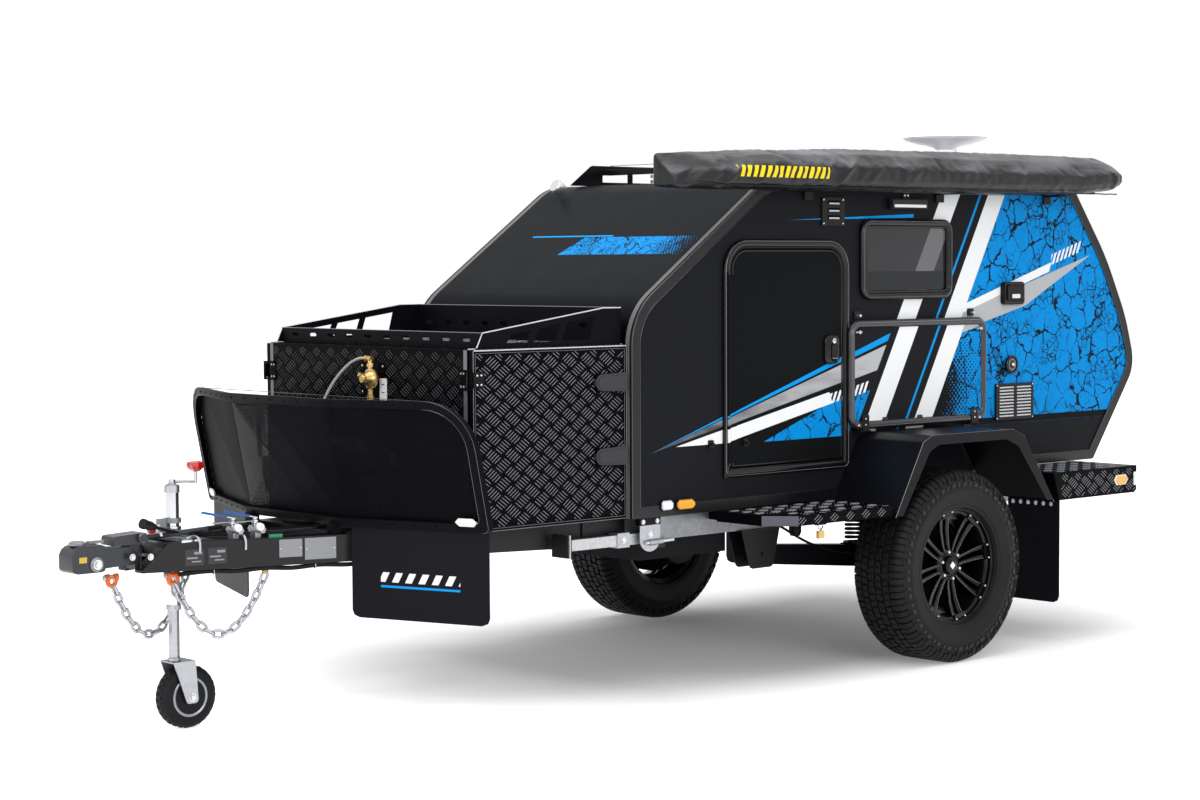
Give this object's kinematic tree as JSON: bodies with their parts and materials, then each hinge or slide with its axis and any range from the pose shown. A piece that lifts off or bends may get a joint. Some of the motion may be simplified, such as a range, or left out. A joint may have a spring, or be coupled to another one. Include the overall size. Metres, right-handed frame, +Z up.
{
  "type": "off-road teardrop camping trailer",
  "caption": "Off-road teardrop camping trailer with front toolbox, stone guard, side doors, rear hatch, rolled awning and roof rack.",
  "frame": {"origin": "on the ground under the middle of the trailer's length and width", "axes": "+X forward to the coupling, +Y to the left (awning) side, +Z up"},
  "size_m": [5.2454, 2.06, 2.263],
  "materials": {
    "chassis": "galvanised",
    "trailing_arms": "satin",
    "coil_springs": "satin",
    "shock_absorbers": "gloss",
    "water_tank": "matte",
    "tyre_left": "matte",
    "tyre_right": "matte",
    "rim_left": "satin",
    "rim_right": "satin",
    "fenders": "textured",
    "side_steps": "checker plate",
    "mudflaps": "matte",
    "cabin_floor": "matte",
    "cabin_side_left": "gloss",
    "cabin_side_right": "gloss",
    "cabin_skin": "satin",
    "edge_trims": "satin black",
    "rear_hatch": "satin",
    "opening_frames": "satin black",
    "door_left": "gloss",
    "door_right": "gloss",
    "window_panes": "tinted",
    "toolbox_shell": "checker plate",
    "toolbox_door_left": "checker plate",
    "toolbox_door_right": "checker plate",
    "toolbox_rack": "satin",
    "stone_guard_frame": "satin",
    "stone_guard_mesh": "woven mesh",
    "gas_bottles": "gloss",
    "gas_regulator": "satin",
    "coupling": "satin",
    "jockey_stand": "zinc",
    "jockey_fork": "zinc",
    "jockey_wheel": "matte",
    "safety_chains": "zinc",
    "water_taps": "satin",
    "body_fittings": "gloss",
    "marker_lamps": "clear",
    "fold_table": "satin",
    "stabiliser_front_left": "zinc",
    "stabiliser_front_right": "zinc",
    "roof_rack": "satin",
    "awning_bag": "vinyl",
    "dish": "gloss"
  },
  "bodies": {
    "trailer_body": {"chassis": "chassis", "trailing_arms": "trailing_arms", "coil_springs": "coil_springs", "shock_absorbers": "shock_absorbers", "water_tank": "water_tank", "fenders": "fenders", "side_steps": "side_steps", "mudflaps": "mudflaps", "cabin_floor": "cabin_floor", "cabin_side_left": "cabin_side_left", "cabin_side_right": "cabin_side_right", "cabin_skin": "cabin_skin", "edge_trims": "edge_trims", "opening_frames": "opening_frames", "window_panes": "window_panes", "toolbox_shell": "toolbox_shell", "toolbox_rack": "toolbox_rack", "stone_guard_frame": "stone_guard_frame", "stone_guard_mesh": "stone_guard_mesh", "gas_bottles": "gas_bottles", "gas_regulator": "gas_regulator", "coupling": "coupling", "jockey_stand": "jockey_stand", "safety_chains": "safety_chains", "water_taps": "water_taps", "body_fittings": "body_fittings", "marker_lamps": "marker_lamps", "roof_rack": "roof_rack", "awning_bag": "awning_bag", "dish": "dish"},
    "wheel_left": {"tyre_left": "tyre_left", "rim_left": "rim_left"},
    "wheel_right": {"tyre_right": "tyre_right", "rim_right": "rim_right"},
    "door_left_body": {"door_left": "door_left"},
    "door_right_body": {"door_right": "door_right"},
    "toolbox_door_left_body": {"toolbox_door_left": "toolbox_door_left"},
    "toolbox_door_right_body": {"toolbox_door_right": "toolbox_door_right"},
    "rear_hatch_body": {"rear_hatch": "rear_hatch"},
    "table_body": {"fold_table": "fold_table"},
    "stabiliser_left_body": {"stabiliser_front_left": "stabiliser_front_left"},
    "stabiliser_right_body": {"stabiliser_front_right": "stabiliser_front_right"},
    "jockey_fork_body": {"jockey_fork": "jockey_fork"},
    "jockey_wheel_body": {"jockey_wheel": "jockey_wheel"}
  },
  "joints": [
    {"name": "wheel_left_spin", "type": "hinge", "parent": "trailer_body", "child": "wheel_left", "pos_m": [-0.9645, 0.887, 0.401], "axis": [0, 1, 0], "continuous": true},
    {"name": "wheel_right_spin", "type": "hinge", "parent": "trailer_body", "child": "wheel_right", "pos_m": [-0.9645, -0.887, 0.401], "axis": [0, 1, 0], "continuous": true},
    {"name": "door_left_hinge", "type": "hinge", "parent": "trailer_body", "child": "door_left_body", "pos_m": [0.0645, 0.6833, 1.25], "axis": [0, 0, -1], "range_deg": [0, 170]},
    {"name": "door_right_hinge", "type": "hinge", "parent": "trailer_body", "child": "door_right_body", "pos_m": [0.0645, -0.6833, 1.25], "axis": [0, 0, 1], "range_deg": [0, 170]},
    {"name": "toolbox_left_hinge", "type": "hinge", "parent": "trailer_body", "child": "toolbox_door_left_body", "pos_m": [1.3425, 0.648, 1], "axis": [0, 0, -1], "range_deg": [0, 95]},
    {"name": "toolbox_right_hinge", "type": "hinge", "parent": "trailer_body", "child": "toolbox_door_right_body", "pos_m": [1.3425, -0.648, 1], "axis": [0, 0, 1], "range_deg": [0, 95]},
    {"name": "rear_hatch_hinge", "type": "hinge", "parent": "trailer_body", "child": "rear_hatch_body", "pos_m": [-2.0945, 0, 2.005], "axis": [0, 1, 0], "range_deg": [0, 85]},
    {"name": "table_hinge", "type": "hinge", "parent": "trailer_body", "child": "table_body", "pos_m": [-1.069, 0.704, 0.96], "axis": [-1, 0, 0], "range_deg": [0, 90]},
    {"name": "stabiliser_left_hinge", "type": "hinge", "parent": "trailer_body", "child": "stabiliser_left_body", "pos_m": [0.4155, 0.619, 0.604], "axis": [0, 1, 0], "range_deg": [0, 90]},
    {"name": "stabiliser_right_hinge", "type": "hinge", "parent": "trailer_body", "child": "stabiliser_right_body", "pos_m": [0.4155, -0.619, 0.604], "axis": [0, 1, 0], "range_deg": [0, 90]},
    {"name": "jockey_swivel", "type": "hinge", "parent": "trailer_body", "child": "jockey_fork_body", "pos_m": [2.1905, 0, 0.3], "axis": [0, 0, 1], "continuous": true},
    {"name": "jockey_wheel_spin", "type": "hinge", "parent": "jockey_fork_body", "child": "jockey_wheel_body", "pos_m": [2.1455, 0, 0.115], "axis": [0, 1, 0], "continuous": true}
  ]
}
